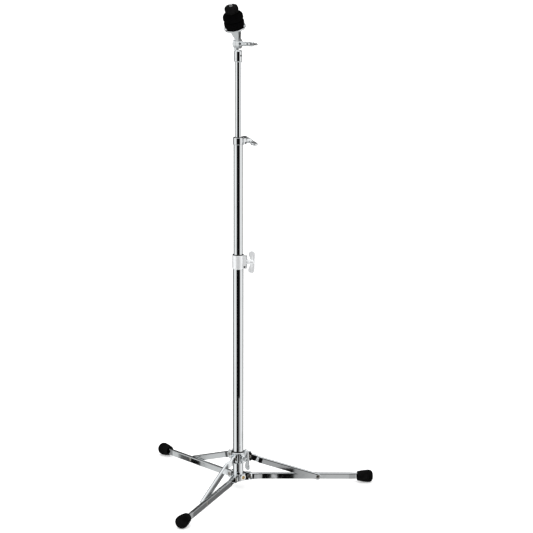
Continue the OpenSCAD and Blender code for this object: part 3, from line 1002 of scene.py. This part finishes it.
def build_nut(place):
    """A ribbed plastic nut: ten lobes with rounded tops."""
    n, h = 0.0142, 0.0164
    profile = [
        (0.00406, 0.0),
        (n - 0.0030, 0.0),
        (n - 0.0014, 0.0006),
        (n - 0.0008, 0.0022),
        (n - 0.0004, 0.0044),
        (n, 0.0070),
        (n, h - 0.0056),
        (n - 0.0006, h - 0.0032),
        (n - 0.0020, h - 0.0014),
        (n - 0.0042, h - 0.0004),
        (n - 0.0066, h),
        (0.00406, h),
    ]
    profile = dense_profile(round_corners(profile, 0.0012, 4), 0.0006)

    def lobes(point, angle):
        flat = Vector((point.x, point.y, 0))
        wave = (0.5 + 0.5 * math.cos(10 * angle)) ** 3
        up = smooth_step(point.z, 0.0022, 0.0058)
        rim = smooth_step(flat.length, 0.0090, 0.0125)
        return point - flat.normalized() * (0.0012 * wave * up * rim)

    nut = turned(
        "cymbal_nut_ribbed",
        profile,
        "nut",
        place @ Matrix.Translation((0, 0, 0.0686)),
        200,
        lobes,
        0,
        True,
        70,
    )
    finish_piece(nut, "top_nut", "nut_plastic", "cymbal_nut")


# ---------- studio ----------


def build_floor():
    mesh = bpy.data.meshes.new("studio_floor")
    size = 60.0
    mesh.from_pydata(
        [(-size, -size, -0.0003), (size, -size, -0.0003), (size, size, -0.0003), (-size, size, -0.0003)],
        [],
        [(0, 1, 2, 3)],
    )
    floor = bpy.data.objects.new("studio_floor", mesh)
    bpy.context.scene.collection.objects.link(floor)
    material = bpy.data.materials.new("studio_floor_white")
    material.use_nodes = True
    tree = material.node_tree
    shader = tree.nodes["Principled BSDF"]
    shader.inputs["Roughness"].default_value = 1.0
    shader.inputs["Specular IOR Level"].default_value = 0.0
    coords = tree.nodes.new("ShaderNodeTexCoord").outputs["Object"]
    tone = add_noise(tree, coords, 3.0, 2.0).outputs["Fac"]
    tree.links.new(add_colour_mix(tree, tone, (0.93, 0.93, 0.93, 1), (0.95, 0.95, 0.95, 1)), shader.inputs["Base Color"])
    shader.inputs["Emission Color"].default_value = (1, 1, 1, 1)
    shader.inputs["Emission Strength"].default_value = 0.3
    mesh.materials.append(material)
    floor.visible_glossy = False


def tone_ramp(tree, around, first, last, stops):
    """Studio tones between two bearings, from (degrees, tone) pairs."""
    span = add_range(tree, around, first / 360 + 0.5, last / 360 + 0.5, 0.0, 1.0)
    node = tree.nodes.new("ShaderNodeValToRGB")
    ramp = node.color_ramp
    ramp.interpolation = "LINEAR"
    ramp.elements.remove(ramp.elements[-1])
    for k, (degrees, tone) in enumerate(stops):
        place = (degrees - first) / (last - first)
        element = ramp.elements[0] if k == 0 else ramp.elements.new(place)
        element.position = place
        cool = 0.985 if first < -50 else 1.0
        element.color = (tone * cool, tone, tone, 1)
    tree.links.new(span, node.inputs["Fac"])
    return node.outputs["Color"]


def build_world():
    """Softboxes on both sides, a dark gap in front and a dim back, seen only in reflections."""
    left = [
        (-180, 0.05),
        (-160, 0.05),
        (-145, 0.15),
        (-127, 0.41),
        (-116.2, 0.6),
        (-92, 0.9),
        (-65, 0.9),
        (-42, 0.72),
        (-25.6, 0.7),
        (-24.8, 0.004),
        (0, 0.004),
    ]
    screen = [
        (-118, 0.57),
        (-115.75, 0.6),
        (-115.64, 0.09),
        (-115.22, 0.1),
        (-115.18, 0.003),
        (-114.66, 0.003),
        (-114.6, 0.42),
        (-114.2, 0.56),
        (-112, 0.62),
    ]
    side = [(45, 0.78), (72, 0.92), (104, 0.6), (118, 0.43), (128, 0.42), (136, 0.2), (150, 0.05), (180, 0.05)]
    upper = [(0, 0.004), (17.2, 0.004), (18, 0.74)] + side
    lower = [(0, 0.3), (16, 0.44), (24, 0.7)] + side
    middle_gap = [(4, 0.004), (6.3, 0.004), (6.5, 0.36), (14, 0.42)]
    low_gap = [
        (4, 0.004),
        (7.02, 0.004),
        (7.06, 0.5),
        (7.28, 0.5),
        (7.32, 0.003),
        (8.1, 0.003),
        (8.2, 0.28),
        (8.7, 0.38),
        (9.4, 0.47),
        (14, 0.47),
    ]
    world = bpy.data.worlds.new("studio")
    bpy.context.scene.world = world
    world.use_nodes = True
    tree = world.node_tree
    tree.nodes.clear()
    output = tree.nodes.new("ShaderNodeOutputWorld")
    coords = tree.nodes.new("ShaderNodeTexCoord").outputs["Generated"]
    split = tree.nodes.new("ShaderNodeSeparateXYZ")
    tree.links.new(coords, split.inputs["Vector"])
    rise = split.outputs["Z"]
    back = add_math(tree, "MULTIPLY", split.outputs["Y"], -1.0)
    azimuth = add_math(tree, "ARCTAN2", split.outputs["X"], back)
    around = add_math(tree, "MULTIPLY_ADD", azimuth, 1 / (2 * math.pi), 0.5)
    above_floor = add_range(tree, rise, -0.3096, -0.3091, 0.0, 1.0)
    above_table = add_range(tree, rise, -0.3018, -0.3008, 0.0, 1.0)
    gaps = [tone_ramp(tree, around, 4, 14, stops) for stops in (low_gap, middle_gap)]
    studio = add_colour_mix(tree, above_floor, gaps[0], gaps[1])
    past_gap = add_range(tree, around, 0.5 + 13.9 / 360, 0.5 + 14 / 360, 0.0, 1.0)
    studio = add_colour_mix(tree, past_gap, studio, tone_ramp(tree, around, 0, 180, lower))
    studio = add_colour_mix(tree, above_table, studio, tone_ramp(tree, around, 0, 180, upper))
    on_right = add_range(tree, around, 0.4999, 0.5001, 0.0, 1.0)
    in_screen = add_range(tree, around, 0.5 - 118 / 360, 0.5 - 117.9 / 360, 0.0, 1.0)
    past_screen = add_range(tree, around, 0.5 - 112.1 / 360, 0.5 - 112 / 360, 0.0, 1.0)
    wide = tone_ramp(tree, around, -180, 0, left)
    behind = add_colour_mix(tree, in_screen, wide, tone_ramp(tree, around, -118, -112, screen))
    behind = add_colour_mix(tree, past_screen, behind, wide)
    studio = add_colour_mix(tree, on_right, behind, studio)
    studio = add_colour_mix(tree, add_range(tree, rise, -0.75, -0.5, 0.0, 1.0), (0.5, 0.51, 0.51, 1), studio)
    studio = add_colour_mix(tree, add_range(tree, rise, 0.55, 0.75, 0.0, 1.0), studio, (0.95, 0.96, 0.97, 1))
    path = tree.nodes.new("ShaderNodeLightPath")
    glossy = tree.nodes.new("ShaderNodeBackground")
    tree.links.new(studio, glossy.inputs["Color"])
    glossy.inputs["Strength"].default_value = 1.0
    plain = tree.nodes.new("ShaderNodeBackground")
    plain.inputs["Color"].default_value = (1, 1, 1, 1)
    plain.inputs["Strength"].default_value = 1.15
    mix = tree.nodes.new("ShaderNodeMixShader")
    tree.links.new(path.outputs["Is Glossy Ray"], mix.inputs["Fac"])
    tree.links.new(plain.outputs["Background"], mix.inputs[1])
    tree.links.new(glossy.outputs["Background"], mix.inputs[2])
    tree.links.new(mix.outputs["Shader"], output.inputs["Surface"])


def add_light(name, place, target, size, power):
    data = bpy.data.lights.new(name, "AREA")
    data.shape = "RECTANGLE"
    data.size, data.size_y = size
    data.energy = power
    light = bpy.data.objects.new(name, data)
    bpy.context.scene.collection.objects.link(light)
    light.location = place
    light.rotation_euler = (Vector(target) - Vector(place)).to_track_quat("-Z", "Y").to_euler()
    light.visible_glossy = False
    return light


def build_camera():
    azimuth = math.radians(-6.534)
    distance, height, pitch = 3.6, 1.2125, math.radians(11.512)
    data = bpy.data.cameras.new("studio_camera")
    data.sensor_width = 36.0
    data.lens = 119.19
    data.shift_x = 0.05314
    data.clip_end = 200.0
    camera = bpy.data.objects.new("studio_camera", data)
    bpy.context.scene.collection.objects.link(camera)
    camera.location = (distance * math.sin(azimuth), -distance * math.cos(azimuth), height)
    camera.rotation_euler = (math.pi / 2 - pitch, 0, azimuth)
    bpy.context.scene.camera = camera


def build_studio():
    build_floor()
    build_world()
    add_light("left_softbox", (-2.2, -1.6, 2.2), (0, 0, 0.5), (1.4, 2.2), 12)
    add_light("right_softbox", (2.4, -1.4, 2.0), (0, 0, 0.5), (1.4, 2.2), 10)
    bpy.context.scene.view_settings.view_transform = "Standard"


build_camera()
build_tubes()
build_fittings()
build_legs()
build_wing_bolts()
build_cymbal_seat()
build_felts()
build_studio()
